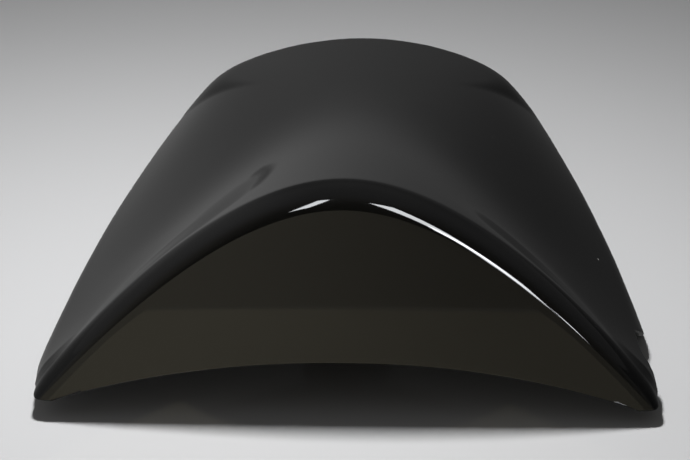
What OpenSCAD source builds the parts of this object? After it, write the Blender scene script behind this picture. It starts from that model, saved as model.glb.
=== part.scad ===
// Seat cowl for the tail of a motorcycle: one moulded shell with its latch and its rubber buffers.
// Left and right are as seen facing the front wall.
// Shell heights are worked out over a plan whose y runs from the foot of the front wall to the tail.
// The whole part is then moved back, so that the origin is under the middle of its lower rim.

/* [Outline] */
// Length of the lower outline, from the foot of the front wall to the tail
total_l = 371; // [350:1:390]
// Width of the lower outline, taken on to the front line
front_w = 297.5; // [288:0.5:306]
// How fast half the width shrinks just behind the front
side_taper = 0.091; // [0.08:0.001:0.1]
// How much faster it shrinks with each millimetre
side_bow = 0.00025; // [0.0002:0.00001:0.0003]
// How far the outline draws in at the front corners
corner_in = 5; // [2:0.5:7]
// Length of the rounded tail
tail_l = 95; // [85:1:105]
// Squareness of the rounded tail, where 2 is an ellipse
tail_power = 2.05; // [2:0.05:2.3]

/* [Front ridge] */
// Height of the ridge on the centre line
ridge_h = 105.2; // [95:0.1:115]
// Slope of the ridge beyond its rounded top
ridge_slope = 0.393; // [0.3:0.001:0.45]
// Half length of the ridge's rounded top
ridge_soft = 58; // [40:1:70]
// How fast the ridge falls away to the corners
ridge_fall = 0.00291; // [0.0026:0.00001:0.0031]
// Radius between the front wall and the ramp
ridge_r = 12; // [9:0.5:15]
// Lean of the front wall from upright, in degrees
face_lean = 11.9; // [6:0.1:16]
// Fall of the ramp behind the ridge, in degrees
ramp_angle = 16; // [13:0.1:18]

/* [Deck and flanks] */
// Height of the deck, taken on to the front line
deck_h = 86.5; // [82:0.5:90]
// Fall of the deck towards the tail
deck_fall = 0.147; // [0.135:0.001:0.155]
// Crown across the deck at its front
crown_front = 0.0035; // [0.003:0.0001:0.004]
// Crown across the deck at the tail
crown_back = 0.0008; // [0.0004:0.0001:0.0012]
// Softness of the hollow between the ramp and the deck
valley_soft = 12; // [8:1:20]
// Steepness of the flanks at the front
flank_front = 0.72; // [0.6:0.01:1]
// Steepness of the flanks at the tail's corners
flank_back = 0.8; // [0.6:0.01:1]
// Extra steepness of the flanks at the front corners
corner_steep = 1.35; // [1:0.05:1.6]
// Height at which the flanks turn down into the upright hem
hem_h = 16; // [10:0.5:22]
// Steepness of the hem
hem_steep = 4; // [3:0.1:6]
// Softness of the turn between the flanks and the hem
hem_soft = 12; // [6:0.5:15]
// Steepness of the tail
tail_steep = 6.5; // [5:0.1:8]
// Softness of the shoulders along the flanks
shoulder_soft = 22; // [16:1:28]
// Softness of the tail's upper edge
tail_soft = 12; // [8:1:16]

/* [Lower rim] */
// Wall thickness
wall = 3; // [2.5:0.1:3.5]
// Height of the left front corner over the lower rim
corner_left = 9; // [6:0.5:12]
// Height of the right front corner over the lower rim
corner_right = 7; // [6:0.5:10]
// Half width of the front wall's arched lower edge
arch_half = 131; // [126:1:133]
// Height of that arch on the centre line
arch_h = 27.5; // [22:0.5:32]
// Height of the lock notch in the right flank
notch_h = 15.6; // [13:0.1:18]
// Where the notch's rear point lies
notch_end = 80.5; // [76:0.5:84]

/* [Underside] */
// Thickness of the ribs
rib_t = 2; // [1.6:0.1:2.4]
// Depth of the ribs below the wall
rib_d = 6; // [4:0.5:8]
// Where the latch crosses the shell
latch_y = 150; // [140:1:160]
// Distance between the latch's two screws
latch_pitch = 64; // [56:1:72]
// Height of the bosses' lower faces
boss_z = 27; // [25:0.5:30]
// Where the front buffers sit
front_buffer_y = 112; // [105:1:118]
// Distance between the front buffers
front_buffer_w = 128; // [116:1:134]
// Distance between the rear buffers
rear_buffer_w = 92; // [84:1:100]

/* [Latch] */
// Thickness of the latch plate
plate_t = 2.5; // [2:0.1:3]
// Diameter of the striker's bar
striker_d = 7; // [6:0.5:8]
// Distance between the striker's legs
striker_w = 34; // [30:1:38]
// Height of the striker's lowest point
striker_z = 3.5; // [2:0.5:6]
// Shank diameter of the screws
screw_d = 5.9; // [5.5:0.1:6]

/* [Buffers] */
// Diameter of a buffer's foot
foot_d = 18; // [16:1:20]
// Thickness of a buffer's foot
foot_t = 9; // [8:0.5:10]
// Diameter of a buffer's stem
stem_d = 6; // [5:0.5:7]

/* [Hidden] */
$fn = 48;

lean = tan(face_lean);
ramp = tan(ramp_angle);
tail_y = total_l - tail_l;
fan_y = tail_y + 12;
fan_spokes = 30;
corner_y = 16;
corner_fade = 28;
crown_l = tail_y + 30;
valley_l = 60;
rise_y = 5;
rise_l = 93;
notch_y = 18;
notch_slope = 0.7;
search_in = 60;
search_out = 220;
face_rows = 4;
ridge_rows = 9;
half_cols = 16;
step = 0.05;
mid_y = (lean * corner_right + total_l) / 2;

rib_x = 34;
rib_from = 84;
rear_buffer_y = total_l - 79;
rib_to = total_l - 53;
cross_ys = [total_l - 181, total_l - 121];
cross_x = 74;
front_rib_x = 84;
web_x = 52;
web_l = 40;
web_gap = 8;
boss_d = 16;
boss_fin_d = 22;
boss_fin_l = 18;
insert_d = 9;
insert_l = 10;
screw_l = 13;
head_d = 11;
head_t = 4;
key_d = 5.5;
key_l = 3;
pad_w = 22;
pad_hole = 12;
hole_room = 0.7;
post_d = 14;
post_fin_d = 20;
post_fin_l = 15;
stem_l = 9;
tongue_y = total_l - 55;
tongue_w = 32;
tongue_l = 24;
tongue_z = 6;
tongue_t = 3.5;
tongue_fin = 14;

// Smooth least and greatest of two heights, which blend over k
function soft_min(a, b, k) =
  let (h = max(k - abs(a - b), 0) / k)
  min(a, b) - k * pow(h, 3) / 6;
function soft_max(a, b, k) = -soft_min(-a, -b, k);
function ease(t) = let (s = min(max(t, 0), 1)) s * s * (3 - 2 * s);
function mix(a, b, t) = a + (b - a) * t;

// Half width of the sides and how it changes with y
function corner_share(y) = 1 / (1 + pow(y / corner_fade, 4));
function side_w(y) = front_w / 2 - corner_in * corner_share(y) - side_taper * y - side_bow * y * y;
function side_dw(y) =
  4 * corner_in * pow(corner_share(y), 2) * pow(y / corner_fade, 3) / corner_fade - side_taper - 2 * side_bow * y;

// Share of the way from the middle to the outline, with its slopes in x and y
function reach(x, y) =
  let (
    w = side_w(y),
    a = max(abs(x) / w, 0.02),
    b = max(y - tail_y, 0) / tail_l,
    r = pow(pow(a, tail_power) + pow(b, tail_power), 1 / tail_power),
    g = pow(r, 1 - tail_power),
    rx = g * pow(a, tail_power - 1) / w,
    ry = g * (pow(b, tail_power - 1) / tail_l - pow(a, tail_power) * side_dw(y) / w)
  )
  [r, rx, ry];

// Half width of the whole outline at y, rounded tail included
function outline_w(y) =
  side_w(y) * pow(max(1 - pow(max(y - tail_y, 0) / tail_l, tail_power), 0), 1 / tail_power);

// Slope of the flank or tail at a place, and the share of it that faces the tail
function tail_share(q) = let (ry = max(q[2], 0)) ry * ry / (q[1] * q[1] + q[2] * q[2]);
function flank_slope(y) = mix(flank_front, flank_back, min(y / tail_y, 1.3)) + corner_steep * corner_share(y);

// Height of the flanks and the tail, which start from the outline
function edge_height(x, y) =
  let (q = reach(x, y), d = (1 - q[0]) / norm([q[1], q[2]]))
  mix(soft_min(hem_steep * d, hem_h + flank_slope(y) * d, hem_soft), tail_steep * d, tail_share(q));
function edge_soft(x, y) = mix(shoulder_soft, tail_soft, tail_share(reach(x, y)));

// Height of the ridge's top over the width, and its slope
function ridge_z(x) =
  ridge_h - ridge_slope * (norm([x, ridge_soft]) - ridge_soft) - ridge_fall * x * x;
function ridge_dz(x) = ridge_slope * x / norm([x, ridge_soft]) + 2 * ridge_fall * x;

// Round of the ridge at x: height radius, centre and the angles where it starts and ends
function ridge_rise(x) = ridge_r * norm([1, ridge_dz(x)]);
function round_from(x) = -atan(ridge_r / ridge_rise(x) / lean);
function round_to(x) = atan(ramp * ridge_r / ridge_rise(x));
function round_z(x, t) = ridge_z(x) - ridge_rise(x) * (1 - cos(mix(round_from(x), round_to(x), t)));
function round_y(x, t) =
  lean * round_z(x, 0) + ridge_r * (sin(mix(round_from(x), round_to(x), t)) - sin(round_from(x)));

// Height of the shell behind the ridge
function top_z(x, y) =
  let (
    ramp_z = round_z(x, 1) - ramp * (y - round_y(x, 1)),
    crown = mix(crown_front, crown_back, ease((y - corner_y) / crown_l)),
    deck_z = deck_h - deck_fall * y - crown * x * x,
    valley = valley_soft * ease((y - corner_y) / valley_l) + 0.1
  )
  soft_min(soft_max(ramp_z, deck_z, valley), edge_height(x, y), edge_soft(x, y));

// Height a given depth below the outer face, measured square to it
function under(x, y, depth) =
  let (
    dx = (top_z(x + step, y) - top_z(x - step, y)) / (2 * step),
    dy = (top_z(x, y + step) - top_z(x, y - step)) / (2 * step)
  )
  top_z(x, y) - depth * norm([1, dx, dy]);

// Height of the lower rim along each side: left runs up to its corner, right has the lock notch
function rim_z(y, side) =
  side < 0
    ? corner_left * (1 - ease((y - rise_y) / rise_l))
    : max(0, min(mix(corner_right, notch_h, ease(y / notch_y - 1)), (notch_end - y) * notch_slope));
function corner_z(side) = side < 0 ? corner_left : corner_right;

// Arched lower edge of the front wall
function arch_z(x) =
  let (low = corner_z(x))
  mix(low, arch_h, 1 - pow(abs(x) / arch_half, 2.2));
function face_z(x, t) = mix(arch_z(x), round_z(x, 0), t);
function ridge_top(x, t) = soft_min(round_z(x, t), edge_height(x, round_y(x, t)), shoulder_soft);

// Where a falling curve meets a height, found by halving: kind 0 is the wall, 1 the round, 2 the top
function curve_z(kind, x, p) = kind == 0 ? face_z(x, p) : kind == 1 ? ridge_top(x, p) : top_z(x, p);
function meet(kind, p, z, side, lo, hi, n = 30) =
  let (m = (lo + hi) / 2)
  n == 0 ? m
  : curve_z(kind, side * m, p) > z ? meet(kind, p, z, side, m, hi, n - 1)
  : meet(kind, p, z, side, lo, m, n - 1);

// How far the outline is from the centre of the tail's round, in a direction from straight back
function tail_reach(a, lo = search_in, hi = search_out, n = 30) =
  let (m = (lo + hi) / 2)
  n == 0 ? m
  : reach(m * sin(a), fan_y + m * cos(a))[0] < 1 ? tail_reach(a, m, hi, n - 1)
  : tail_reach(a, lo, m, n - 1);

// Each place on the skin is a point with the direction square to it
function unit(v) = v / norm(v);
function wall_place(x, t) = let (z = face_z(x, t)) [[x, lean * z, z], unit([0, -1, lean])];
function round_point(x, t) = [x, round_y(x, t), ridge_top(x, t)];
function round_place(x, t) =
  let (
    across = round_point(x + step, t) - round_point(x - step, t),
    along = round_point(x, t + 0.01) - round_point(x, t - 0.01)
  )
  [round_point(x, t), unit(cross(across, along))];
function top_place(x, y, z) =
  let (
    dx = top_z(x + step, y) - top_z(x - step, y),
    dy = top_z(x, y + step) - top_z(x, y - step)
  )
  [[x, y, z], unit([-dx, -dy, 2 * step])];

// Columns are closer together towards the sides, and rows where the notch is
shares = [for (i = [0 : half_cols]) 1 - pow(1 - i / half_cols, 1.4)];
cols = concat([for (i = [half_cols : -1 : 1]) -shares[i]], shares);
last_col = len(cols) - 1;
function between(a, b, n) = [for (i = [0 : n - 1]) mix(a, b, i / n)];
notch_top = notch_end - notch_h / notch_slope;
side_places = concat(between(corner_y, 2 * notch_y, 5), between(2 * notch_y, notch_top, 3),
  between(notch_top, notch_end, 4), between(notch_end, latch_y, 6), between(latch_y, fan_y, 10), [fan_y]);
side_t = [for (i = [1 : len(side_places) - 1]) (side_places[i] - corner_y) / (fan_y - corner_y)];

// Rows from the left rim to the right rim: up the front wall, over the ridge, then back to the tail's round
function spread(u, left, right) = u < 0 ? -u * left : u * right;
function wall_row(t) =
  let (
    left = -meet(0, t, corner_left, -1, search_in, search_out),
    right = meet(0, t, corner_right, 1, search_in, search_out)
  )
  [for (u = cols) wall_place(spread(u, left, right), t)];
function round_row(t) =
  let (
    left = -meet(1, t, corner_left, -1, search_in, search_out),
    right = meet(1, t, corner_right, 1, search_in, search_out)
  )
  [for (u = cols) round_place(spread(u, left, right), t)];
function side_x(y, side) =
  let (z = rim_z(y, side), w = outline_w(y))
  side * (z > 0.01 ? meet(2, y, z, side, search_in, w) : w);
function top_row(t, start) =
  let (
    ys = [for (p = start) mix(p[0][1], fan_y, t)],
    left = side_x(ys[0], -1),
    right = side_x(ys[last_col], 1)
  )
  [for (j = [0 : last_col])
    let (x = spread(cols[j], left, right), edge = j == 0 || j == last_col)
    top_place(x, ys[j], edge ? rim_z(ys[j], sign(x)) : top_z(x, ys[j]))];

// Spokes of the tail's round, from its centre out to the rim
fan_angles = [for (m = [1 : fan_spokes - 1]) 180 * m / fan_spokes - 90];
function fan_row(a) =
  let (r = tail_reach(a))
  [for (k = [1 : half_cols])
    let (x = shares[k] * r * sin(a), y = fan_y + shares[k] * r * cos(a))
    top_place(x, y, k == half_cols ? 0 : top_z(x, y))];

// The inner skin lies a wall thickness below the outer one, with level edges all round
function inner_point(p, edge) =
  let (n = p[1], flat = [n[0], n[1], 0])
  p[0] - (edge ? wall * flat / (flat * flat) : wall * n);

// Two triangles for each cell
function cell(a, b, c, d) = [[a, b, c], [a, c, d]];
function fan_id(m, k, rows) =
  let (first = (rows - 1) * len(cols) + half_cols)
  m == 0 || k == 0 ? first - k
  : m == fan_spokes ? first + k
  : rows * len(cols) + (m - 1) * half_cols + k - 1;

module shell_skin() {
  low = [for (i = [0 : face_rows - 1]) wall_row(i / face_rows)];
  ridge = [for (i = [0 : ridge_rows]) round_row(i / ridge_rows)];
  tops = [for (t = side_t) top_row(t, ridge[ridge_rows])];
  grid = concat(low, ridge, tops);
  rows = len(grid);
  n = last_col + 1;
  fan = [for (a = fan_angles) fan_row(a)];
  outer = concat([for (r = grid) for (p = r) p[0]], [for (r = fan) for (p = r) p[0]]);
  inner = concat(
    [for (i = [0 : rows - 1]) for (j = [0 : last_col])
      inner_point(grid[i][j], i == 0 || j == 0 || j == last_col)],
    [for (r = fan) for (j = [0 : half_cols - 1]) inner_point(r[j], j == half_cols - 1)]
  );
  cells = concat(
    [for (i = [0 : rows - 2]) for (j = [0 : last_col - 1])
      let (a = i * n + j)
      [a, a + n, a + n + 1, a + 1]],
    [for (m = [0 : fan_spokes - 1]) for (k = [1 : half_cols - 1])
      [fan_id(m, k, rows), fan_id(m, k + 1, rows), fan_id(m + 1, k + 1, rows), fan_id(m + 1, k, rows)]]
  );
  centre = [for (m = [0 : fan_spokes - 1]) [fan_id(0, 0, rows), fan_id(m, 1, rows), fan_id(m + 1, 1, rows)]];
  skin = concat([for (c = cells) each cell(c[0], c[1], c[2], c[3])], centre);
  rim = concat(
    [for (j = [0 : last_col - 1]) [j, j + 1]],
    [for (i = [0 : rows - 2]) [(i + 1) * n, i * n]],
    [for (i = [0 : rows - 2]) [i * n + last_col, (i + 1) * n + last_col]],
    [for (m = [0 : fan_spokes - 1]) [fan_id(m + 1, half_cols, rows), fan_id(m, half_cols, rows)]]
  );
  k = len(outer);
  faces = concat(
    skin,
    [for (f = skin) [k + f[2], k + f[1], k + f[0]]],
    [for (e = rim) each cell(e[0], e[1], k + e[1], k + e[0])]
  );
  polyhedron(concat(outer, inner), faces, convexity = 6);
}

// Upright rib between two plan points: its top is buried in the wall, its lower edge runs from depth to depth
module rib(from, to, depth_from = rib_d, depth_to = rib_d, parts = 10) {
  along = unit(to - from);
  side = [-along[1], along[0]] * rib_t / 2;
  points = [for (i = [0 : parts])
    let (
      p = mix(from, to, i / parts),
      low = under(p[0], p[1], wall) - mix(depth_from, depth_to, i / parts),
      a = p - side,
      b = p + side
    )
    each [[a[0], a[1], low], [b[0], b[1], low],
      [b[0], b[1], under(b[0], b[1], wall / 2)], [a[0], a[1], under(a[0], a[1], wall / 2)]]];
  faces = concat([[0, 1, 2], [0, 2, 3]],
    [for (i = [0 : parts - 1]) for (e = [0 : 3])
      let (a = i * 4 + e, b = i * 4 + (e + 1) % 4)
      each cell(a, a + 4, b + 4, b)],
    [let (a = parts * 4) each [[a + 2, a + 1, a], [a + 3, a + 2, a]]]);
  polyhedron(points, faces, convexity = 4);
}

// Web that ties the front wall to the ramp at one x
module front_web(x) {
  inside = wall / 2;
  low = arch_h + web_gap;
  high = round_z(x, 0);
  wall_line = [for (z = [low, high]) [lean * z + inside, z]];
  bend = [for (t = [0.25 : 0.25 : 1])
    let (f = mix(round_from(x), round_to(x), t))
    [round_y(x, t) - inside * sin(f), round_z(x, t) - inside * cos(f)]];
  back = round_y(x, 1);
  roof = [for (d = [1 : 3]) let (y = back + web_l * d / 3) [y, under(x, y, inside)]];
  translate([x - rib_t / 2, 0, 0])
    rotate([90, 0, 90])
      linear_extrude(rib_t)
        polygon(concat(wall_line, bend, roof));
}

// Round post from the wall down to z, on a wider root whose top follows the wall
module post(x, y, z, d) {
  sides = 16;
  r = d / 2 + 1.5;
  ring = [for (i = [0 : sides - 1]) [x + r * cos(360 * i / sides), y + r * sin(360 * i / sides)]];
  tops = [for (p = ring) under(p[0], p[1], wall / 2)];
  base = min(tops) - wall - 1;
  translate([x, y, z])
    cylinder(d = d, h = base + 2 - z);
  points = concat([for (p = ring) [p[0], p[1], base]],
    [for (i = [0 : sides - 1]) [ring[i][0], ring[i][1], tops[i]]],
    [[x, y, base], [x, y, under(x, y, wall / 2)]]);
  faces = [for (i = [0 : sides - 1])
    let (j = (i + 1) % sides)
    each concat([[2 * sides, i, j], [2 * sides + 1, sides + j, sides + i]],
      cell(i, sides + i, sides + j, j))];
  polyhedron(points, faces, convexity = 3);
}

module blind_hole(x, y, z, d, l) {
  translate([x, y, z - 1])
    cylinder(d = d, h = l + 1);
}

// Gussets stand off a post on its four sides
module gussets(x, y, depth, l) {
  for (a = [0 : 90 : 270]) {
    rib([x, y], [x + l * cos(a), y + l * sin(a)], depth, rib_d, 3);
  }
}

module to_middle() {
  translate([0, -mid_y, 0]) children();
}

latch_xs = [-latch_pitch / 2, latch_pitch / 2];
buffer_places = [[-front_buffer_w / 2, front_buffer_y], [front_buffer_w / 2, front_buffer_y],
  [-rear_buffer_w / 2, rear_buffer_y], [rear_buffer_w / 2, rear_buffer_y]];

module tongue() {
  web_h = under(0, tongue_y, wall / 2) - tongue_z;
  translate([-tongue_w / 2, tongue_y, tongue_z]) {
    translate([0, -wall, 0]) cube([tongue_w, wall, web_h]);
    translate([0, -wall, 0]) cube([tongue_w, tongue_l + wall, tongue_t]);
  }
  for (x = [-tongue_w / 2, -rib_t / 2, tongue_w / 2 - rib_t]) {
    translate([x, tongue_y - wall, tongue_z])
      rotate([90, 0, 90])
        linear_extrude(rib_t)
          polygon([[0, 0], [0, web_h - wall / 2], [-tongue_fin, web_h - wall],
            [-tongue_fin, web_h - 2 * wall], [-wall, 0]]);
  }
}

module cowl_shell() {
  color("#17181a") to_middle() difference() {
    union() {
      shell_skin();
      for (x = [-web_x, 0, web_x]) front_web(x);
      for (x = [-rib_x, rib_x]) rib([x, rib_from], [x, rib_to]);
      for (y = cross_ys) rib([-cross_x, y], [cross_x, y], parts = 12);
      rib([-front_rib_x, front_buffer_y], [front_rib_x, front_buffer_y], parts = 14);
      for (x = latch_xs) {
        post(x, latch_y, boss_z, boss_d);
        gussets(x, latch_y, boss_fin_d, boss_fin_l);
      }
      for (p = buffer_places) {
        post(p[0], p[1], foot_t, post_d);
        gussets(p[0], p[1], post_fin_d, post_fin_l);
      }
      tongue();
    }
    for (x = latch_xs) blind_hole(x, latch_y, boss_z, insert_d, insert_l + wall);
    for (p = buffer_places) blind_hole(p[0], p[1], foot_t, stem_d, stem_l + 1);
  }
}

module plate_outline() {
  difference() {
    union() {
      square([latch_pitch, pad_w], center = true);
      for (x = latch_xs) translate([x, 0]) circle(d = pad_w);
    }
    for (x = latch_xs) translate([x, 0]) circle(d = screw_d + hole_room);
    circle(d = pad_hole);
  }
}

module striker() {
  bend = striker_d;
  leg_x = striker_w / 2;
  low = striker_z + striker_d / 2;
  top = boss_z - plate_t / 2;
  for (s = [-1, 1]) {
    translate([s * leg_x, 0, low + bend]) cylinder(d = striker_d, h = top - low - bend);
    translate([s * (leg_x - bend), 0, low + bend])
      rotate([90, 0, 0])
        rotate(s < 0 ? 180 : 270)
          rotate_extrude(angle = 90) translate([bend, 0]) circle(d = striker_d);
  }
  translate([bend - leg_x, 0, low])
    rotate([0, 90, 0]) cylinder(d = striker_d, h = striker_w - 2 * bend);
}

module latch_bracket() {
  color("#9a9da0") to_middle() translate([0, latch_y, 0]) {
    translate([0, 0, boss_z - plate_t]) linear_extrude(plate_t) plate_outline();
    striker();
  }
}

module threaded_inserts() {
  color("#b08d3c") to_middle() for (x = latch_xs) {
    translate([x, latch_y, boss_z]) difference() {
      cylinder(d = insert_d, h = insert_l);
      translate([0, 0, -1]) cylinder(d = screw_d, h = insert_l + 2);
    }
  }
}

module latch_screws() {
  color("#3c3e40") to_middle() for (x = latch_xs) {
    translate([x, latch_y, boss_z - plate_t]) {
      cylinder(d = screw_d, h = screw_l);
      difference() {
        translate([0, 0, -head_t]) cylinder(d = head_d, h = head_t);
        translate([0, 0, -head_t - 1]) cylinder(d = key_d, h = key_l, $fn = 6);
      }
    }
  }
}

module rubber_buffer(place) {
  rim = 1;
  color("#2b2b2c") to_middle() translate([place[0], place[1], 0]) {
    rotate_extrude()
      polygon([[0, 0], [foot_d / 2 - rim, 0], [foot_d / 2, rim], [foot_d / 2, foot_t - rim],
        [foot_d / 2 - rim, foot_t], [stem_d / 2, foot_t], [stem_d / 2, foot_t + stem_l],
        [0, foot_t + stem_l]]);
  }
}

cowl_shell();
latch_bracket();
latch_screws();
threaded_inserts();
rubber_buffer(buffer_places[0]);  // rubber_buffer_front_left
rubber_buffer(buffer_places[1]);  // rubber_buffer_front_right
rubber_buffer(buffer_places[2]);  // rubber_buffer_rear_left
rubber_buffer(buffer_places[3]);  // rubber_buffer_rear_right
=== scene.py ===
import math
from functools import lru_cache

import bmesh
import bpy
from mathutils import Euler, Matrix, Vector


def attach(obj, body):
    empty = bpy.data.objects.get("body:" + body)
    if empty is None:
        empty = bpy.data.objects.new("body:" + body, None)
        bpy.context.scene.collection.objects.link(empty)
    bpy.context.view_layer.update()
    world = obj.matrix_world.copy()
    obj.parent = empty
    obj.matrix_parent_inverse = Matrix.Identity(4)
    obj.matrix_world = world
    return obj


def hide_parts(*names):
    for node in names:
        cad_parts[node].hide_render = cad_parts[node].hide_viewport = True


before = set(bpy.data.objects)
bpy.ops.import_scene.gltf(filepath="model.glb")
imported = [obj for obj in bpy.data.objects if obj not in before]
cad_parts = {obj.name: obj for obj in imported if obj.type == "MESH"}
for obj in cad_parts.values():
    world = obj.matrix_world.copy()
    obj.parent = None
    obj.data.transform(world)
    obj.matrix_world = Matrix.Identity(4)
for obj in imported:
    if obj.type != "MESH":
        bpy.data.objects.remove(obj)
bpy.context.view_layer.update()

print("frame loaded")

mm = 0.001

# The cowl's own sizes in millimetres, as in the part's source but for a slightly taller notch
cowl = {
    "totalL": 371.0, "frontW": 297.5, "sideTaper": 0.091, "sideBow": 0.00025, "cornerIn": 5.0,
    "tailL": 95.0, "tailPower": 2.05, "fanIn": 12.0,
    "ridgeH": 105.15, "ridgeSlope": 0.393, "ridgeSoft": 58.0, "ridgeFall": 0.00291,
    "ridgeR": 12.0, "faceLean": 11.9, "rampAngle": 16.0,
    "deckH": 86.5, "deckFall": 0.147, "crownFront": 0.0035, "crownBack": 0.0008,
    "valleySoft": 12.0, "valleyL": 60.0,
    "flankFront": 0.72, "flankBack": 0.8, "flankEnd": 1.3,
    "cornerSteep": 1.35, "cornerFade": 28.0, "steepFade": 20.0,
    "hemH": 16.0, "hemSteep": 4.0, "hemSoft": 12.0,
    "tailSteep": 6.5, "shoulderSoft": 22.0, "tailSoft": 12.0,
    "wall": 3.0, "cornerLeft": 9.0, "cornerRight": 7.0, "archHalf": 131.0, "archH": 27.5,
    "notchH": 17.4, "notchEnd": 80.5, "notchY": 18.0, "notchSlope": 0.7,
    "riseY": 5.0, "riseL": 93.0, "cornerY": 16.0,
}
c = type("Sizes", (), cowl)
lean = math.tan(math.radians(c.faceLean))
ramp = math.tan(math.radians(c.rampAngle))
tailY = c.totalL - c.tailL
fanY = tailY + c.fanIn  # centre of the tail's spun half disc
midY = (lean * c.cornerRight + c.totalL) / 2
step = 0.05  # how far apart two heights are taken for a slope


def softMin(a, b, k):
    h = max(k - abs(a - b), 0) / k
    return min(a, b) - k * h ** 3 / 6


def softMax(a, b, k):
    return -softMin(-a, -b, k)


def ease(t):
    s = min(max(t, 0), 1)
    return s * s * (3 - 2 * s)


def mix(a, b, t):
    return a + (b - a) * t


def cornerShare(y):
    return 1 / (1 + (y / c.cornerFade) ** 4)


def sideW(y):
    return c.frontW / 2 - c.cornerIn * cornerShare(y) - c.sideTaper * y - c.sideBow * y * y


def reach(x, y):  # share of the way out to the rim, and how it changes in x and y
    w = sideW(y)
    dw = (4 * c.cornerIn * cornerShare(y) ** 2 * (y / c.cornerFade) ** 3 / c.cornerFade
          - c.sideTaper - 2 * c.sideBow * y)
    p = c.tailPower
    a, b = max(abs(x) / w, 0.02), max(y - tailY, 0) / c.tailL
    r = (a ** p + b ** p) ** (1 / p)
    g = r ** (1 - p)
    return r, g * a ** (p - 1) / w, g * (b ** (p - 1) / c.tailL - a ** p * dw / w)


def outlineW(y):
    return sideW(y) * max(1 - (max(y - tailY, 0) / c.tailL) ** c.tailPower, 0) ** (1 / c.tailPower)


def edge(x, y):  # height of the flanks and the tail, and how softly the deck meets them
    r, rx, ry = reach(x, y)
    m = max(ry, 0) ** 2 / (rx * rx + ry * ry)
    d = (1 - r) / math.hypot(rx, ry)
    flank = mix(c.flankFront, c.flankBack, min(y / tailY, c.flankEnd))
    flank += c.cornerSteep / (1 + (y / c.steepFade) ** 2)
    sideZ = softMin(c.hemSteep * d, c.hemH + flank * d, c.hemSoft)
    return mix(sideZ, c.tailSteep * d, m), mix(c.shoulderSoft, c.tailSoft, m)


@lru_cache(maxsize=None)
def ridge(x):  # the ridge's top, its height radius and the angles where its round starts and ends
    top = c.ridgeH - c.ridgeSlope * (math.hypot(x, c.ridgeSoft) - c.ridgeSoft) - c.ridgeFall * x * x
    slope = c.ridgeSlope * x / math.hypot(x, c.ridgeSoft) + 2 * c.ridgeFall * x
    rise = c.ridgeR * math.hypot(1, slope)
    return top, rise, -math.atan(c.ridgeR / rise / lean), math.atan(ramp * c.ridgeR / rise)


def roundYz(x, t):
    top, rise, start, end = ridge(x)
    a = mix(start, end, t)
    foot = top - rise * (1 - math.cos(start))
    return lean * foot + c.ridgeR * (math.sin(a) - math.sin(start)), top - rise * (1 - math.cos(a))


def topZ(x, y):
    backY, backZ = roundYz(x, 1)
    rampZ = backZ - ramp * (y - backY)
    crown = mix(c.crownFront, c.crownBack, ease((y - c.cornerY) / (tailY + 30)))
    deckZ = c.deckH - c.deckFall * y - crown * x * x
    valley = c.valleySoft * ease((y - c.cornerY) / c.valleyL) + 0.1
    edgeZ, soft = edge(x, y)
    return softMin(softMax(rampZ, deckZ, valley), edgeZ, soft)


def under(x, y, depth):
    dx = (topZ(x + step, y) - topZ(x - step, y)) / (2 * step)
    dy = (topZ(x, y + step) - topZ(x, y - step)) / (2 * step)
    return topZ(x, y) - depth * math.hypot(1, dx, dy)


def rimZ(y, side):  # the left rim rises to its corner, the right one has the lock notch
    if side < 0:
        return c.cornerLeft * (1 - ease((y - c.riseY) / c.riseL))
    front = mix(c.cornerRight, c.notchH, ease(y / c.notchY - 1))
    return max(0, min(front, (c.notchEnd - y) * c.notchSlope))


def faceZ(x, t):
    low = c.cornerLeft if x < 0 else c.cornerRight
    arch = mix(low, c.archH, 1 - (abs(x) / c.archHalf) ** 2.2)
    return mix(arch, roundYz(x, 0)[1], t)


def ridgeTop(x, t):
    y, z = roundYz(x, t)
    return softMin(z, edge(x, y)[0], c.shoulderSoft)


def meet(height, z, low=60.0, high=220.0):  # where a falling curve comes down to z
    for _ in range(30):
        m = (low + high) / 2
        if height(m) > z:
            low = m
        else:
            high = m
    return low


def share(s):  # columns lie closer together towards the rim
    return 1 - (1 - s) ** 1.4


# The shell's skins: one grid for wall, ridge and deck, with a spun half disc for the tail
skin = {
    "halfCols": 44, "faceRows": 16, "ridgeRows": 16, "deckRows": 84, "spokes": 72,
    "rimRound": 0.7, "rimSteps": 4,
}


def wallPlace(x, t):
    z = faceZ(x, t)
    return Vector((x, lean * z, z)), Vector((0, -1, lean)).normalized()


def roundPlace(x, t):
    def at(x, t):
        return Vector((x, roundYz(x, t)[0], ridgeTop(x, t)))
    across, along = at(x + step, t) - at(x - step, t), at(x, t + 0.01) - at(x, t - 0.01)
    return at(x, t), across.cross(along).normalized()


def topPlace(x, y, z):
    dx, dy = topZ(x + step, y) - topZ(x - step, y), topZ(x, y + step) - topZ(x, y - step)
    return Vector((x, y, z)), Vector((-dx, -dy, 2 * step)).normalized()


@lru_cache(maxsize=None)
def rowEnds(kind, t):  # how far each row reaches to the left and right rims
    height = {0: faceZ, 1: ridgeTop}[kind]
    return (meet(lambda m: height(-m, t), c.cornerLeft), meet(lambda m: height(m, t), c.cornerRight))


@lru_cache(maxsize=None)
def sideX(y, side):
    z = rimZ(y, side)
    return meet(lambda m: topZ(side * m, y), z, 60, outlineW(y)) if z > 0.01 else outlineW(y)


@lru_cache(maxsize=None)
def tailReach(a):
    return meet(lambda m: -reach(m * math.sin(a), fanY + m * math.cos(a))[0], -1)


def spread(u, left, right):
    return (-left if u < 0 else right) * share(abs(u))


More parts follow.
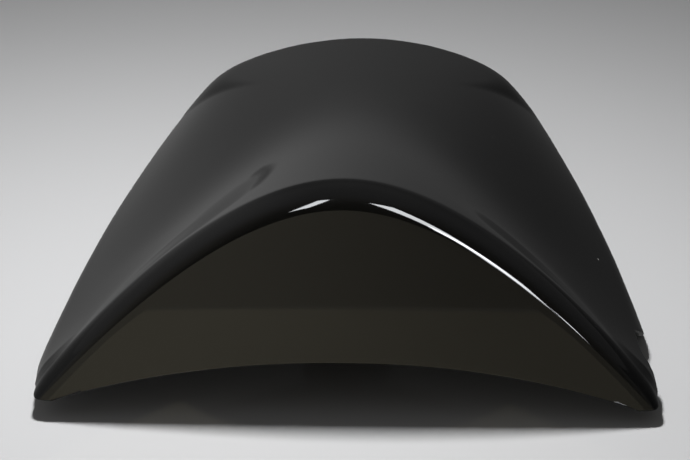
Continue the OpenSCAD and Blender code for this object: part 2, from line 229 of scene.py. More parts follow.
def skinPlace(u, v):  # u from the left rim to the right, v from the lip to the tail's centre
    rows = skin["faceRows"] + skin["ridgeRows"] + skin["deckRows"]
    row = (v + 1) / 2 * rows
    if row < skin["faceRows"] - 1e-4:
        t = round(row / skin["faceRows"], 6)
        return wallPlace(spread(u, *rowEnds(0, t)), t)
    row -= skin["faceRows"]
    if row < skin["ridgeRows"] + 1e-4:
        t = round(max(row, 0) / skin["ridgeRows"], 6)
        return roundPlace(spread(u, *rowEnds(1, t)), t)
    t = (row - skin["ridgeRows"]) / skin["deckRows"]
    start = roundYz(spread(u, *rowEnds(1, 1.0)), 1)[0]
    endY = roundYz((-1 if u < 0 else 1) * rowEnds(1, 1.0)[u > 0], 1)[0]
    x = spread(u, sideX(round(mix(endY, fanY, t), 6), -1), sideX(round(mix(endY, fanY, t), 6), 1))
    y = mix(start, fanY, t)
    return topPlace(x, y, rimZ(y, u) if abs(u) > 1 - 1e-6 else topZ(x, y))


def fanPlace(x, y):  # the tail's half disc, in the grid's own units
    rho, a = min(math.hypot(x, y), 1), math.atan2(x, y)
    r = share(rho) * tailReach(round(a, 6))
    px, py = r * math.sin(a), fanY + r * math.cos(a)
    return topPlace(px, py, 0 if rho > 1 - 1e-6 else topZ(px, py))


def toObject(p):  # the part's millimetres to the frame's metres
    return Vector((p.x, p.y - midY, p.z)) * mm


def newPiece(name, bm, nodes):
    mesh = bpy.data.meshes.new(name)
    bm.to_mesh(mesh)
    bm.free()
    mesh.shade_smooth()
    piece = bpy.data.objects.new(name, mesh)
    bpy.context.collection.objects.link(piece)
    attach(piece, "root")
    for node in nodes:
        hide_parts(node)
    return piece


def roundRim(bm, verts, frames, radius):  # rolls the skin's open edge a quarter turn towards the other skin
    edges = [e for v in verts for e in v.link_edges if e.is_boundary and e.other_vert(v) in verts]
    edges = list(dict.fromkeys(edges))
    for v in verts:
        place, away, inward = frames[v]
        v.co = place + away * radius
    steps = skin["rimSteps"]
    for k in range(1, steps + 1):
        made = bmesh.ops.extrude_edge_only(bm, edges=edges)["geom"]
        fresh = {g for g in made if isinstance(g, bmesh.types.BMVert)}
        edges = [g for g in made if isinstance(g, bmesh.types.BMEdge) and fresh.issuperset(g.verts)]
        a = k / steps * math.pi / 2
        for v in fresh:
            frames[v] = next(frames[e.other_vert(v)] for e in v.link_edges if e.other_vert(v) not in fresh)
        for v in fresh:
            place, away, inward = frames[v]
            v.co = place + away * radius * (1 - math.sin(a)) + inward * radius * (1 - math.cos(a))
    return edges


def makeShell():
    bm = bmesh.new()
    cols = 2 * skin["halfCols"]
    rows = skin["faceRows"] + skin["ridgeRows"] + skin["deckRows"]
    bmesh.ops.create_grid(bm, x_segments=cols, y_segments=rows, size=1)
    half = [e for e in bm.edges if all(v.co.y > 1 - 1e-5 and v.co.x > -1e-5 for v in e.verts)]
    halfVerts = list({v for e in half for v in e.verts})
    bmesh.ops.spin(bm, geom=half + halfVerts, cent=(0, 1, 0), axis=(0, 0, 1), angle=math.pi,
                   steps=skin["spokes"])
    bmesh.ops.remove_doubles(bm, verts=bm.verts, dist=1e-4)
    bmesh.ops.recalc_face_normals(bm, faces=bm.faces)
    if sum(f.normal.z for f in bm.faces) < 0:
        bmesh.ops.reverse_faces(bm, faces=bm.faces)
    outer = list(bm.verts)
    rim = [v for v in outer if v.is_boundary]
    normals = {}
    for v in outer:
        u, w = v.co.x, v.co.y
        v.co, normals[v] = fanPlace(u, w - 1) if w > 1 + 1e-5 else skinPlace(max(-1, min(1, u)), w)
    copy = bmesh.ops.duplicate(bm, geom=bm.verts[:] + bm.edges[:] + bm.faces[:])
    twin = copy["vert_map"]
    innerFaces = [g for g in copy["geom"] if isinstance(g, bmesh.types.BMFace)]
    flats = {}
    for v in outer:  # level edges all round, as the mould leaves them
        n = normals[v]
        flat = Vector((n.x, n.y, 0))
        if v.is_boundary:
            flats[v] = -flat.normalized()
            twin[v].co = v.co - c.wall * flat / flat.length_squared
        else:
            twin[v].co = v.co - c.wall * n
    bmesh.ops.reverse_faces(bm, faces=innerFaces)
    for f in innerFaces:
        f.material_index = 1
    frames = {}
    for v in rim:  # where each rim point lies, the way along the skin and the way into the wall
        for w, inward in ((v, flats[v]), (twin[v], -flats[v])):
            across = [x for f in w.link_faces for x in f.verts if not x.is_boundary]
            near = [e.other_vert(w) for e in w.link_edges if not e.other_vert(w).is_boundary]
            frames[w] = (w.co.copy(), ((near or across)[0].co - w.co).normalized(), inward)
    loops = roundRim(bm, set(rim), frames, skin["rimRound"])
    loops += roundRim(bm, {twin[v] for v in rim}, frames, skin["rimRound"])
    bmesh.ops.bridge_loops(bm, edges=loops)
    bmesh.ops.recalc_face_normals(bm, faces=bm.faces)
    for v in bm.verts:
        v.co = toObject(v.co)
    return newPiece("cowlSkin", bm, ["cowl_shell"])


shell = makeShell()
print("shell skins made", len(shell.data.polygons))


# What the moulding carries underneath, in the part's millimetres
ribbing = {
    "ribT": 2.0, "ribD": 6.0, "ribRound": 0.5, "ribX": 34.0, "ribFrom": 84.0, "ribTo": 318.0,
    "crossYs": (190.0, 250.0), "crossX": 74.0, "frontRibX": 84.0,
    "longCuts": 40, "crossCuts": 32, "frontCuts": 36, "gussetCuts": 4,
    "webX": 52.0, "webL": 40.0, "webGap": 8.0, "webSteps": 8,
    "bossD": 16.0, "bossFinD": 22.0, "bossFinL": 18.0, "bossHole": 9.0, "bossDeep": 13.0,
    "postD": 14.0, "postFinD": 20.0, "postFinL": 15.0, "postHole": 6.0, "postDeep": 10.0,
    "mouth": 0.4, "mouthRound": 0.6, "rootL": 6.0,
    # extra radius of a post's root, and how far below the wall's middle
    "rootCurve": ((0, 5.5), (0.15, 4.4), (0.5, 3.6), (1.5, 2.8), (1.5, 0)),
    "tongueY": 316.0, "tongueW": 32.0, "tongueL": 24.0, "tongueZ": 6.0, "tongueT": 3.5,
    "tongueFin": 14.0, "tongueRound": 0.8, "webRound": 0.5,
}
rib = type("Sizes", (), ribbing)


def freshVerts(made):
    return [g for g in made if isinstance(g, bmesh.types.BMVert)]


def farEdges(made):  # the edges that an extrusion or a spin ends with
    fresh = set(freshVerts(made))
    return [g for g in made if isinstance(g, bmesh.types.BMEdge) and fresh.issuperset(g.verts)]


def joined(solids):  # one mesh of several closed solids, in the frame's metres
    whole = bmesh.new()
    for bm in solids:
        bmesh.ops.recalc_face_normals(bm, faces=bm.faces)
        scratch = bpy.data.meshes.new("scratch")
        bm.to_mesh(scratch)
        bm.free()
        whole.from_mesh(scratch)
        bpy.data.meshes.remove(scratch)
    for v in whole.verts:
        v.co = toObject(v.co)
    return whole


def fittingPiece(name, solids, nodes):
    piece = newPiece(name, joined(solids), nodes)
    piece.data.set_sharp_from_angle(angle=0.6)
    return piece


def chain(bm, points, closed=False):
    verts = [bm.verts.new(p) for p in points]
    ends = verts[1:] + ([verts[0]] if closed else [])
    return verts, [bm.edges.new(pair) for pair in zip(verts, ends)]


def spun(profile, place=(0, 0), closed=False, steps=48):  # a turned solid from points of radius and height
    bm = bmesh.new()
    verts, edges = chain(bm, [(r, 0, z) for r, z in profile], closed)
    bmesh.ops.spin(bm, geom=verts + edges, cent=(0, 0, 0), axis=(0, 0, 1), angle=2 * math.pi, steps=steps,
                   use_merge=True)
    bmesh.ops.remove_doubles(bm, verts=bm.verts, dist=1e-4)
    bmesh.ops.translate(bm, vec=(*place, 0), verts=bm.verts)
    return bm


def rounded(bm, edges, offset, segments=2):
    bmesh.ops.bevel(bm, geom=edges, offset=offset, segments=segments, profile=0.5, affect="EDGES",
                    material=-1)


def ribPart(start, end, depthFrom, depthTo, cuts):  # buried in the wall, its foot runs from depth to depth
    start, end = Vector((*start, 0)), Vector((*end, 0))
    length, along = (end - start).length, (end - start).normalized()
    side, deep = Vector((-along.y, along.x, 0)), max(depthFrom, depthTo) + c.wall / 2
    bm = bmesh.new()
    bmesh.ops.create_cube(bm, size=1)
    bmesh.ops.scale(bm, vec=(length, rib.ribT, deep), verts=bm.verts)
    foot = [e for e in bm.edges
            if all(v.co.z < 0 for v in e.verts) and e.verts[0].co.y == e.verts[1].co.y]
    rounded(bm, foot, rib.ribRound, 3)
    long = [e for e in bm.edges if abs(e.verts[0].co.x - e.verts[1].co.x) > length / 2]
    bmesh.ops.subdivide_edges(bm, edges=long, cuts=cuts, use_grid_fill=True)
    for v in bm.verts:
        t, h = v.co.x / length + 0.5, v.co.z / deep + 0.5
        p = start + along * (t * length) + side * v.co.y
        low = under(p.x, p.y, c.wall) - mix(depthFrom, depthTo, t)
        v.co = (p.x, p.y, mix(low, under(p.x, p.y, c.wall / 2), h))
    return bm


def postPart(x, y, z, d, hole, deep):  # a hollow post with a rounded mouth, flared where it meets the wall
    r, bore, top = d / 2, hole / 2, under(x, y, c.wall / 2)
    third, mid = rib.mouthRound / 3, top - c.wall - rib.rootL
    profile = [(0, z + deep), (bore, z + deep), (bore, z + rib.mouth), (bore + rib.mouth, z),
               (r - rib.mouthRound, z), (r - third, z + third), (r, z + rib.mouthRound), (r, mid)]
    profile += [(r + a, top - b) for a, b in rib.rootCurve] + [(0, top)]
    bm = spun(profile, (x, y))
    for v in bm.verts:  # the root follows the wall
        outside = (v.co.xy - Vector((x, y))).length > bore + 0.01
        if outside and v.co.z > mid + 0.01 or v.co.z > top - 0.01:
            v.co.z += under(v.co.x, v.co.y, c.wall / 2) - top
    return bm


def gussets(x, y, depth, length):
    return [ribPart((x, y), (x + length * dx, y + length * dy), depth, rib.ribD, rib.gussetCuts)
            for dx, dy in ((1, 0), (0, 1), (-1, 0), (0, -1))]


def boxPart(low, high, edgeRound):
    bm = bmesh.new()
    bmesh.ops.create_cube(bm, size=1)
    low, high = Vector(low), Vector(high)
    bmesh.ops.scale(bm, vec=high - low, verts=bm.verts)
    rounded(bm, bm.edges[:], edgeRound)
    bmesh.ops.translate(bm, vec=(low + high) / 2, verts=bm.verts)
    return bm


def platePart(points, x, thick):  # an upright plate of constant thickness, from points of y and z
    bm = bmesh.new()
    verts, edges = chain(bm, [(x, y, z) for y, z in points], True)
    face = bmesh.ops.contextual_create(bm, geom=edges)["faces"]
    made = bmesh.ops.extrude_face_region(bm, geom=face)["geom"]
    bmesh.ops.translate(bm, vec=(thick, 0, 0), verts=freshVerts(made))
    return bm


def frontWeb(x):  # ties the front wall to the ramp
    inside, steps = c.wall / 2, range(1, rib.webSteps + 1)
    points = [(lean * z + inside, z) for z in (c.archH + rib.webGap, roundYz(x, 0)[1])]
    for k in steps:
        y, z = roundYz(x, k / rib.webSteps)
        a = mix(ridge(x)[2], ridge(x)[3], k / rib.webSteps)
        points.append((y - inside * math.sin(a), z - inside * math.cos(a)))
    back = roundYz(x, 1)[0]
    points += [(y, under(x, y, inside)) for y in (back + rib.webL * k / rib.webSteps for k in steps)]
    return platePart(points, x - rib.ribT / 2, rib.ribT)


def rearTongue():
    half, back, front, low = rib.tongueW / 2, rib.tongueY, rib.tongueY - c.wall, rib.tongueZ
    top = under(0, back, c.wall / 2)
    high = top - low
    fin = [(0, 0), (0, high - c.wall / 2), (-rib.tongueFin, high - c.wall),
           (-rib.tongueFin, high - 2 * c.wall), (-c.wall, 0)]
    fin = [(front + a, low + b) for a, b in fin]
    return [boxPart((-half, front, low), (half, back, top), rib.webRound),
            boxPart((-half, front, low), (half, back + rib.tongueL, low + rib.tongueT), rib.tongueRound),
            *(platePart(fin, x, rib.ribT) for x in (-half, -rib.ribT / 2, half - rib.ribT))]


def makeUnderside():
    solids = [frontWeb(x) for x in (-rib.webX, 0, rib.webX)]
    lines = [((x, rib.ribFrom), (x, rib.ribTo), rib.longCuts) for x in (-rib.ribX, rib.ribX)]
    lines += [((-rib.crossX, y), (rib.crossX, y), rib.crossCuts) for y in rib.crossYs]
    frontY = buffer["places"]["front_left"][1]
    lines.append(((-rib.frontRibX, frontY), (rib.frontRibX, frontY), rib.frontCuts))
    solids += [ribPart(start, end, rib.ribD, rib.ribD, cuts) for start, end, cuts in lines]
    for x in latchXs:
        solids.append(postPart(x, latch["y"], latch["z"], rib.bossD, rib.bossHole, rib.bossDeep))
        solids += gussets(x, latch["y"], rib.bossFinD, rib.bossFinL)
    for x, y in buffer["places"].values():
        solids.append(postPart(x, y, buffer["footT"], rib.postD, rib.postHole, rib.postDeep))
        solids += gussets(x, y, rib.postFinD, rib.postFinL)
    return fittingPiece("cowlUnderside", solids + rearTongue(), ["cowl_shell"])


# Latch bracket with its welded striker, screws and moulded-in inserts
latch = {
    "y": 150.0, "pitch": 64.0, "z": 27.0, "plateT": 2.5, "padW": 22.0, "padHole": 12.0, "screwHole": 6.6,
    "plateEdge": 0.35, "strikerD": 7.0, "strikerW": 34.0, "strikerZ": 3.5, "weld": 1.3, "weldSink": 0.3,
    "screwD": 5.9, "screwL": 13.0, "screwTip": 0.6, "headT": 4.0, "keyD": 5.5, "keyL": 2.0,
    # the button head's round, as radius and height above its face
    "headCurve": ((5.2, 4.0), (5.5, 3.7), (5.4, 2.2), (5.0, 1.2), (4.4, 0.5), (3.8, 0.12), (3.4, 0)),
    "insertL": 10.0, "insertLead": 0.4, "insertEdge": 0.2,
}
latchXs = (-latch["pitch"] / 2, latch["pitch"] / 2)


def ringAt(bm, x, y, z, radius, segments):
    place = Matrix.Translation((x, y, z))
    verts = bmesh.ops.create_circle(bm, segments=segments, radius=radius, matrix=place)["verts"]
    return verts, list({e for v in verts for e in v.link_edges})


def bracketPlate():
    y, z, half = latch["y"], latch["z"], latch["pitch"] / 2
    bm = bmesh.new()
    outline, edges = ringAt(bm, 0, y, z, latch["padW"] / 2, 64)
    for v in outline:  # a circle drawn out to both screws
        v.co.x += half * ((v.co.x > 0.01) - (v.co.x < -0.01))
    edges += ringAt(bm, 0, y, z, latch["padHole"] / 2, 40)[1]
    for x in latchXs:
        edges += ringAt(bm, x, y, z, latch["screwHole"] / 2, 32)[1]
    filled = bmesh.ops.triangle_fill(bm, use_beauty=True, edges=edges)["geom"]
    faces = [g for g in filled if isinstance(g, bmesh.types.BMFace)]
    made = bmesh.ops.extrude_face_region(bm, geom=faces)["geom"]
    bmesh.ops.translate(bm, vec=(0, 0, -latch["plateT"]), verts=freshVerts(made))
    bmesh.ops.recalc_face_normals(bm, faces=bm.faces)
    rounded(bm, [e for e in bm.edges if e.calc_face_angle(0) > 1], latch["plateEdge"])
    return bm


def strikerRod():  # a round bar bent to a U: down, round, across, round and up
    r, leg, y = latch["strikerD"] / 2, latch["strikerW"] / 2, latch["y"]
    bend, top = 2 * r, latch["z"] - latch["plateT"] / 2
    turnZ = latch["strikerZ"] + r + bend
    bm = bmesh.new()
    first = ringAt(bm, -leg, y, top, r, 28)[1]
    last = first
    for move, centre in (((0, 0, turnZ - top), None), (None, bend - leg),
                         ((2 * leg - 2 * bend, 0, 0), None), (None, leg - bend),
                         ((0, 0, top - turnZ), None)):
        if move:
            made = bmesh.ops.extrude_edge_only(bm, edges=last)["geom"]
            bmesh.ops.translate(bm, vec=move, verts=freshVerts(made))
        else:
            verts = list({v for e in last for v in e.verts})
            made = bmesh.ops.spin(bm, geom=verts + last, cent=(centre, y, turnZ), axis=(0, 1, 0),
                                  angle=-math.pi / 2, steps=10)["geom_last"]
        last = farEdges(made)
    for loop in (first, last):
        bmesh.ops.contextual_create(bm, geom=loop)
    return bm


def weldFillet(x):
    r, w, sink = latch["strikerD"] / 2, latch["weld"], latch["weldSink"]
    plate = latch["z"] - latch["plateT"]
    profile = [(r - 0.2, plate + sink), (r - 0.2, plate - w - 0.3), (r, plate - w - 0.2),
               (r + 0.35 * w, plate - 0.6 * w), (r + w, plate), (r + w, plate + sink)]
    return spun(profile, (x, latch["y"]), True)


def makeBracket():
    leg = latch["strikerW"] / 2
    solids = [bracketPlate(), strikerRod(), weldFillet(-leg), weldFillet(leg)]
    return fittingPiece("latchBracket", solids, ["latch_bracket"])


def screwPart(x):
    r, tip, seat = latch["screwD"] / 2, latch["screwTip"], latch["z"] - latch["plateT"]
    face, end = seat - latch["headT"], seat + latch["screwL"]
    shank = [(0, end), (r - tip, end), (r, end - tip), (r, seat)]
    bm = spun(shank + [(radius, face + z) for radius, z in latch["headCurve"]])
    rim = [e for e in bm.edges if e.is_boundary]
    key = ringAt(bm, 0, 0, face, latch["keyD"] / 2, 6)[1]
    bmesh.ops.triangle_fill(bm, use_beauty=True, edges=rim + key)
    made = bmesh.ops.extrude_edge_only(bm, edges=key)["geom"]
    bmesh.ops.translate(bm, vec=(0, 0, latch["keyL"]), verts=freshVerts(made))
    bmesh.ops.contextual_create(bm, geom=farEdges(made))
    bmesh.ops.translate(bm, vec=(x, latch["y"], 0), verts=bm.verts)
    return bm


def makeScrews():
    return fittingPiece("latchScrews", [screwPart(x) for x in latchXs], ["latch_screws"])


def makeInserts():
    inner, outer, z, end = latch["screwD"] / 2, rib.bossHole / 2, latch["z"], latch["z"] + latch["insertL"]
    lead, rim = latch["insertLead"], latch["insertEdge"]
    ring = [(inner, z + lead), (inner + lead, z), (outer - rim, z), (outer, z + rim), (outer, end),
            (inner, end)]
    solids = [spun(ring, (x, latch["y"]), True) for x in latchXs]
    return fittingPiece("threadedInserts", solids, ["threaded_inserts"])


# Rubber buffers: a round foot with a stem pressed into the post
buffer = {
    "places": {"front_left": (-64.0, 112.0), "front_right": (64.0, 112.0), "rear_left": (-46.0, 292.0),
               "rear_right": (46.0, 292.0)},
    "footR": 9.0, "footT": 9.0, "footRound": 1.0, "hollowR": 5.5, "hollow": 0.6,
    "stemR": 3.0, "stemL": 9.0, "stemTip": 0.6,
}


def makeBuffer(side, place):
    r, t, stem, tip = buffer["footR"], buffer["footT"], buffer["stemR"], buffer["stemTip"]
    turn, hollow, end = buffer["footRound"], buffer["hollow"], t + buffer["stemL"]
    cut = 0.3 * turn
    profile = [(0, hollow), (buffer["hollowR"], hollow), (buffer["hollowR"] + hollow, 0), (r - turn, 0),
               (r - cut, cut), (r, turn), (r, t - turn), (r - cut, t - cut), (r - turn, t), (stem, t),
               (stem, end - tip), (stem - tip, end), (0, end)]
    solid = spun(profile, place)
    return fittingPiece("rubberBuffer." + side, [solid], ["rubber_buffer_" + side])


underside = makeUnderside()
bracket, screws, inserts = makeBracket(), makeScrews(), makeInserts()
buffers = [makeBuffer(side, place) for side, place in buffer["places"].items()]
print("underside and fittings made", len(underside.data.polygons), len(bracket.data.polygons))


# Camera, floor and light
stageSizes = {
    "floor": 6.0, "floorDrop": 0.0002, "floorColour": (0.62, 0.622, 0.63), "floorRough": 0.75,
    "cameraAt": (0.0336, -1.0622, 0.5524), "cameraTurn": (2.1, 62.56, -0.543), "lens": 121.02,
    # azimuth, elevation, distance, size and power of the lamp that gives the shadow
    "overhead": (0, 54.6, 0.755, (0.08, 0.08), 4.85), "overheadTarget": (-0.065, -0.45, 0),
}
room = {  # each glow, and over which part of the direction it rises
    "dim": 0.08, "left": (0.26, -0.2, -0.8), "right": (0.08, 0.45, 0.9), "ceiling": (0.1, 0.5, 0.95),
    "horizon": (-0.1, 0.25, 0.25), "warm": (1.0, 0.93, 0.78), "warmFrom": (-0.3, -0.95), "fillShare": 0.45,
}
windows = {  # lamps seen in the gloss: azimuth, elevation, size, power and tilt
    "windowRight": (166, 25, (0.28, 1.3), 22, 6), "windowLeft": (-168, 37.5, (0.15, 0.88), 8, 0),
    "windowSill": (163, 15, (0.45, 0.25), 8, -20), "windowLow": (153.8, 12.3, (0.14, 0.07), 0.7, 0),
}
windowFar, windowColour = 2.2, (0.95, 0.97, 1)
# Dim cards seen in the gloss: profile of radius and height, centre, sweep, levels, span and tint
cards = {
    "rearScreen": (((0.41, 0.16), (0.41, 0.0006), (0.02, 0.0006)), -0.14, 236, (0.24, 0.055), (-0.3, 0.22),
                   (1, 1, 1)),
    "frontScreen": (((-0.62, 0.14), (-0.62, 0)), -0.1, 100, (0.58, 0.28), (-0.15, 0.12), (1, 0.93, 0.74)),
    "frontCard": (((-0.61, 0.0004), (-0.1, 0.0004)), -0.1, 96, (0.82, 0.46), (-0.12, 0.12), (1, 0.92, 0.7)),
}


def addNode(tree, kind, **values):
    node = tree.nodes.new("ShaderNode" + kind)
    for name, value in values.items():
        if name in node.inputs:
            node.inputs[name].default_value = value
        else:
            setattr(node, name, value)
    return node


def mathNode(tree, operation, *values):
    node = addNode(tree, "Math", operation=operation)
    for socket, value in zip(node.inputs, values):
        if isinstance(value, (int, float)):
            socket.default_value = value
        else:
            tree.links.new(value, socket)
    return node.outputs[0]


def smoothRange(tree, value, low, high, bottom=0.0, top=1.0):
    node = addNode(tree, "MapRange", interpolation_type="SMOOTHSTEP")
    tree.links.new(value, node.inputs["Value"])
    for socket, number in zip(node.inputs[1:5], (low, high, bottom, top)):
        socket.default_value = number
    return node.outputs[0]


def principled(name, colour, roughness, metallic=0.0):
    material = bpy.data.materials.new(name)
    material.use_nodes = True
    shader = material.node_tree.nodes["Principled BSDF"]
    shader.inputs["Base Color"].default_value = (*colour, 1)
    shader.inputs["Roughness"].default_value = roughness
    shader.inputs["Metallic"].default_value = metallic
    return material, shader


def makeCamera():
    data = bpy.data.cameras.new("camera")
    data.lens, data.sensor_width = stageSizes["lens"], 36
    camera = bpy.data.objects.new("camera", data)
    around, tilt, roll = (math.radians(a) for a in stageSizes["cameraTurn"])
    turn = (Euler((0, 0, around)).to_matrix() @ Euler((tilt, 0, 0)).to_matrix()
            @ Euler((0, 0, roll)).to_matrix())
    camera.matrix_world = Matrix.Translation(stageSizes["cameraAt"]) @ turn.to_4x4()
    bpy.context.collection.objects.link(camera)
    bpy.context.scene.camera = camera


def areaLight(name, azimuth, elevation, distance, size, power, colour=(1, 1, 1), tilt=0.0,
              target=(0, -0.1, 0.08)):
    data = bpy.data.lights.new(name, "AREA")
    data.shape, data.size, data.size_y = "RECTANGLE", size[0], size[1]
    data.energy, data.color = power, colour
    lamp = bpy.data.objects.new(name, data)
    a, e = math.radians(azimuth), math.radians(elevation)
    away = Vector((math.sin(a) * math.cos(e), math.cos(a) * math.cos(e), math.sin(e)))
    lamp.location = Vector(target) + away * distance
    lamp.rotation_mode = "QUATERNION"
    turn = Euler((0, 0, math.radians(tilt))).to_quaternion()
    lamp.rotation_quaternion = away.to_track_quat("Z", "Y") @ turn
    lamp.visible_camera = False
    bpy.context.collection.objects.link(lamp)
    return lamp


def makeRoom():  # a dim room: lighter to the left and overhead, warmer behind the camera
    world = bpy.data.worlds.new("softRoom")
    world.use_nodes = True
    bpy.context.scene.world = world
    tree = world.node_tree
    where = addNode(tree, "TexCoord")
    parts = addNode(tree, "SeparateXYZ")
    tree.links.new(where.outputs["Generated"], parts.inputs[0])
    x, y, z = parts.outputs
    glows = ((x, *room["left"]), (x, *room["right"]), (z, *room["ceiling"]))
    left, right, up = (mathNode(tree, "MULTIPLY", smoothRange(tree, axis, low, high), glow)
                       for axis, glow, low, high in glows)
    side = mathNode(tree, "ADD", left, right)
    side = mathNode(tree, "MULTIPLY", side, smoothRange(tree, z, *room["horizon"]))
    level = mathNode(tree, "ADD", mathNode(tree, "ADD", side, up), room["dim"])
    diffuse = addNode(tree, "LightPath").outputs["Is Diffuse Ray"]
    level = mathNode(tree, "MULTIPLY", level, smoothRange(tree, diffuse, 0, 1, 1.0, room["fillShare"]))
    tint = addNode(tree, "Mix", data_type="RGBA")
    tint.inputs["A"].default_value = (1, 1, 1, 1)
    tint.inputs["B"].default_value = (*room["warm"], 1)
    tree.links.new(smoothRange(tree, y, *room["warmFrom"]), tint.inputs["Factor"])
    tree.links.new(tint.outputs["Result"], tree.nodes["Background"].inputs["Color"])
    tree.links.new(level, tree.nodes["Background"].inputs["Strength"])


def stagePiece(name, bm, material):
    mesh = bpy.data.meshes.new(name)
    bm.to_mesh(mesh)
    bm.free()
    mesh.materials.append(material)
    piece = bpy.data.objects.new(name, mesh)
    bpy.context.collection.objects.link(piece)
    return piece


def makeFloor():
    bm = bmesh.new()
    bmesh.ops.create_grid(bm, x_segments=1, y_segments=1, size=stageSizes["floor"] / 2)
    material, shader = principled("paleFloor", stageSizes["floorColour"], stageSizes["floorRough"])
    shader.inputs["Specular IOR Level"].default_value = 0.2
    stagePiece("floor", bm, material).location.z = -stageSizes["floorDrop"]


def makeCard(name, profile, centre, sweep, levels, span, tint):
    bm = bmesh.new()
    turn = Matrix.Rotation(-math.radians(sweep) / 2, 3, "Z")
    places = [turn @ Vector((0, r, z)) + Vector((0, centre, 0)) for r, z in profile]
    verts, edges = chain(bm, places)
    bmesh.ops.spin(bm, geom=verts + edges, cent=(0, centre, 0), axis=(0, 0, 1), angle=math.radians(sweep),
                   steps=30)
    material = bpy.data.materials.new(name)
    material.use_nodes = True
    tree = material.node_tree
    tree.nodes.remove(tree.nodes["Principled BSDF"])
    glow = addNode(tree, "Emission")
    glow.inputs["Color"].default_value = (*tint, 1)
    parts = addNode(tree, "SeparateXYZ")
    tree.links.new(addNode(tree, "TexCoord").outputs["Object"], parts.inputs[0])
    tree.links.new(smoothRange(tree, parts.outputs[0], *span, *levels), glow.inputs["Strength"])
    tree.links.new(glow.outputs[0], tree.nodes["Material Output"].inputs["Surface"])
    card = stagePiece(name, bm, material)
    card.visible_camera = card.visible_diffuse = card.visible_shadow = False


makeCamera()
makeFloor()
for name, sizes in cards.items():
    makeCard(name, *sizes)
makeRoom()
bpy.context.scene.view_settings.view_transform = "Standard"
overhead = areaLight("overhead", *stageSizes["overhead"], target=stageSizes["overheadTarget"])
overhead.visible_glossy = False
for name, (azimuth, elevation, size, power, tilt) in windows.items():
    window = areaLight(name, azimuth, elevation, windowFar, size, power, windowColour, tilt)
    window.visible_diffuse = False
print("camera, floor and light made")


# Where the surface marks lie and how large they are
marks = {
    "grainScale": 1400.0, "cloudScale": 22.0, "cloudRange": (0.35, 0.68),
    "scratchScale": 900.0, "scratchStretch": 0.035, "scratchTurn": (0.3, 0.2, 0.5),
    "scratchRange": (0.66, 0.74), "scratchPatches": (0.45, 0.6),
    "speckScale": 42.0, "speckSize": 0.03, "speckCore": 0.012, "speckShare": 0.9, "dust": (0.5, 0.5, 0.48),
}


def makeMarks():  # marks shared by the materials, as values from 0 to 1
    group = bpy.data.node_groups.new("surfaceMarks", "ShaderNodeTree")
    for name in ("Grain", "Cloud", "Scratch", "Speck"):
        group.interface.new_socket(name, in_out="OUTPUT", socket_type="NodeSocketFloat")
    out = group.nodes.new("NodeGroupOutput")
    place = addNode(group, "TexCoord").outputs["Object"]
    grain = addNode(group, "TexNoise", Scale=marks["grainScale"], Detail=3.0)
    cloud = addNode(group, "TexNoise", Scale=marks["cloudScale"], Detail=4.0, Roughness=0.6)
    stretch = addNode(group, "Mapping", Rotation=marks["scratchTurn"],
                      Scale=(1.0, marks["scratchStretch"], 1.0))
    lines = addNode(group, "TexNoise", Scale=marks["scratchScale"], Detail=1.0)
    cells = addNode(group, "TexVoronoi", Scale=marks["speckScale"])
    for node in (grain, cloud, cells, stretch):
        group.links.new(place, node.inputs["Vector"])
    group.links.new(stretch.outputs[0], lines.inputs["Vector"])
    picked = addNode(group, "SeparateColor")
    group.links.new(cells.outputs["Color"], picked.inputs[0])
    dots = smoothRange(group, cells.outputs["Distance"], marks["speckSize"], marks["speckCore"])
    few = mathNode(group, "GREATER_THAN", picked.outputs[0], marks["speckShare"])
    scratches = smoothRange(group, lines.outputs[0], *marks["scratchRange"])
    patches = smoothRange(group, cloud.outputs[0], *marks["scratchPatches"])
    group.links.new(grain.outputs[0], out.inputs["Grain"])
    group.links.new(smoothRange(group, cloud.outputs[0], *marks["cloudRange"]), out.inputs["Cloud"])
    group.links.new(mathNode(group, "MULTIPLY", scratches, patches), out.inputs["Scratch"])
    group.links.new(mathNode(group, "MULTIPLY", dots, few), out.inputs["Speck"])
    return group


surfaceMarks = makeMarks()


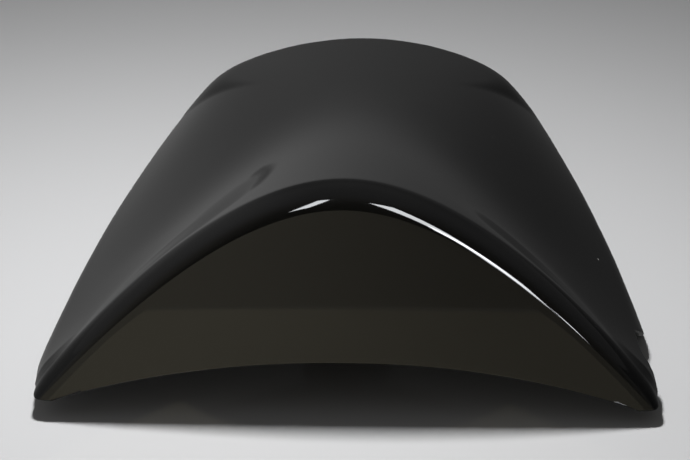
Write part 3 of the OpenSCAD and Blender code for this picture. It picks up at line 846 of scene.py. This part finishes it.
def finished(name, colour, second, rough, roughSpread, metallic=0.0, bump=0.0, bumpFrom="Grain",
             scratch=0.0, dust=0.0):
    material, shader = principled(name, colour, rough, metallic)
    tree = material.node_tree
    group = tree.nodes.new("ShaderNodeGroup")
    group.node_tree = surfaceMarks
    blend = addNode(tree, "Mix", data_type="RGBA")
    blend.inputs["A"].default_value, blend.inputs["B"].default_value = (*colour, 1), (*second, 1)
    tree.links.new(group.outputs["Cloud"], blend.inputs["Factor"])
    colourOut = blend.outputs["Result"]
    if dust:
        dusty = addNode(tree, "Mix", data_type="RGBA")
        dusty.inputs["B"].default_value = (*marks["dust"], 1)
        tree.links.new(mathNode(tree, "MULTIPLY", group.outputs["Speck"], dust), dusty.inputs["Factor"])
        tree.links.new(colourOut, dusty.inputs["A"])
        colourOut = dusty.outputs["Result"]
    tree.links.new(colourOut, shader.inputs["Base Color"])
    level = mathNode(tree, "MULTIPLY_ADD", group.outputs["Cloud"], roughSpread, rough)
    if scratch:
        level = mathNode(tree, "MULTIPLY_ADD", group.outputs["Scratch"], scratch, level)
    tree.links.new(level, shader.inputs["Roughness"])
    relief = addNode(tree, "Bump", Strength=bump, Distance=0.1 * mm)
    tree.links.new(group.outputs[bumpFrom], relief.inputs["Height"])
    tree.links.new(relief.outputs[0], shader.inputs["Normal"])
    return material


def glossBlack():  # the polished outside, with a few specks of dust
    material = finished("glossBlack", (0.0033, 0.0033, 0.0034), (0.0038, 0.0038, 0.0038), 0.03, 0.012,
                        bump=0.02, bumpFrom="Cloud", scratch=0.05, dust=1.0)
    material.node_tree.nodes["Principled BSDF"].inputs["IOR"].default_value = 1.45
    return material


def satinBlack():  # the inside, as the grained half of the mould leaves it
    return finished("satinBlack", (0.011, 0.011, 0.0115), (0.015, 0.015, 0.015), 0.42, 0.1, bump=0.35,
                    scratch=0.1, dust=0.4)


def zincSteel():
    return finished("zincSteel", (0.6, 0.61, 0.63), (0.47, 0.46, 0.42), 0.28, 0.14, 1.0, bump=0.1,
                    scratch=0.15)


def blackSteel():
    return finished("blackSteel", (0.04, 0.04, 0.042), (0.065, 0.062, 0.058), 0.34, 0.12, 0.8, bump=0.08,
                    scratch=0.12)


def turnedBrass():
    return finished("brass", (0.66, 0.5, 0.2), (0.48, 0.34, 0.13), 0.3, 0.15, 1.0, bump=0.05, scratch=0.1)


def blackRubber():
    return finished("rubber", (0.014, 0.014, 0.014), (0.024, 0.024, 0.023), 0.68, 0.12, bump=0.5, dust=0.6)


shell.data.materials.append(glossBlack())
satin, rubber = satinBlack(), blackRubber()
for piece, material in ((shell, satin), (underside, satin), (bracket, zincSteel()), (screws, blackSteel()),
                        (inserts, turnedBrass()), *((piece, rubber) for piece in buffers)):
    piece.data.materials.append(material)
print("materials made")
